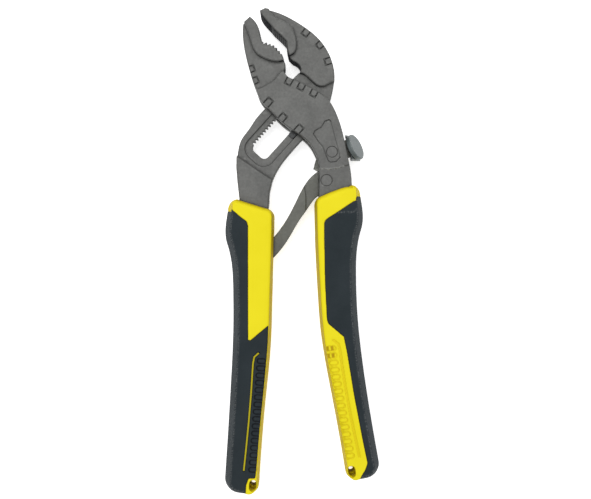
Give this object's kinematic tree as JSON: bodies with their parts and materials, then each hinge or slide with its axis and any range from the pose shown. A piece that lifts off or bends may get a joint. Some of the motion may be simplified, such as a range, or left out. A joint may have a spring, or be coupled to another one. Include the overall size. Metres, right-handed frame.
{
  "type": "tongue and groove pliers",
  "caption": "Self-adjusting tongue and groove pliers: a slotted sliding lever, a control arm, a thumb lock lever and two-colour grips, lying flat on its back.",
  "frame": {"origin": "centre of the footprint on the table, at the height of the back faces of the grips", "axes": "+Y up the tool to the jaw tips, +Z away from the table, +X towards the thumb lever side"},
  "size_m": [0.0795, 0.2493, 0.018],
  "materials": {
    "forged_steel": "shot-blasted warm grey",
    "arm_steel": "pressed plate, warm grey",
    "pin_steel": "turned, satin",
    "spring_steel": "drawn wire",
    "yellow_core": "fine satin",
    "charcoal_rubber": "fine grain",
    "coated_lever": "grey-green coating",
    "pad_coating": "grey-green coating"
  },
  "bodies": {
    "fixed_lever": {"front_lever": "forged_steel", "rear_cheek": "forged_steel", "pivot_pin": "pin_steel", "lock_lever_pin": "pin_steel", "control_arm_pin": "pin_steel", "rear_cheek_rivets": "pin_steel", "right_grip_core": "yellow_core", "right_grip_overmould": "charcoal_rubber"},
    "slide_block": {"slide_block": "pin_steel", "slide_plate": "pin_steel", "pivot_sleeve": "pin_steel", "pawl_springs": "spring_steel"},
    "pawl": {"pawl": "pin_steel"},
    "sliding_lever": {"slotted_lever": "forged_steel", "left_grip_core": "yellow_core", "left_grip_overmould": "charcoal_rubber"},
    "control_arm": {"control_arm": "arm_steel", "arm_bush": "pin_steel", "arm_cross_pin": "pin_steel"},
    "lock_lever": {"lock_lever": "coated_lever", "thumb_button": "pad_coating", "lock_spring": "spring_steel"}
  },
  "joints": [
    {"name": "handle_squeeze", "type": "hinge", "parent": "fixed_lever", "child": "slide_block", "pos_m": [-0.00188, 0.0745, 0.009], "axis": [0, 0, 1], "range_deg": [-26, 2.88]},
    {"name": "jaw_slide", "type": "slide", "parent": "slide_block", "child": "sliding_lever", "axis": [0.6691, 0.7431, 0], "range_m": [-0.0019, 0.0171]},
    {"name": "pawl_engage", "type": "slide", "parent": "slide_block", "child": "pawl", "axis": [-0.7431, 0.6691, 0], "range_m": [0, 0.0012], "stiffness_N_per_m": 150},
    {"name": "arm_swing", "type": "hinge", "parent": "fixed_lever", "child": "control_arm", "pos_m": [0.01242, 0.0373, 0.009], "axis": [0, 0, 1], "range_deg": [-31.3, 3.5]},
    {"name": "lock_lever_press", "type": "hinge", "parent": "fixed_lever", "child": "lock_lever", "pos_m": [0.01522, 0.0518, 0.009], "axis": [0, 0, 1], "range_deg": [-12, 1], "stiffness_Nm_per_rad": 0.05}
  ],
  "couplings": [
    {"joint": "jaw_slide", "follows": "handle_squeeze", "m_per_rad": -0.03768},
    {"joint": "arm_swing", "follows": "handle_squeeze", "ratio": 1.2}
  ]
}
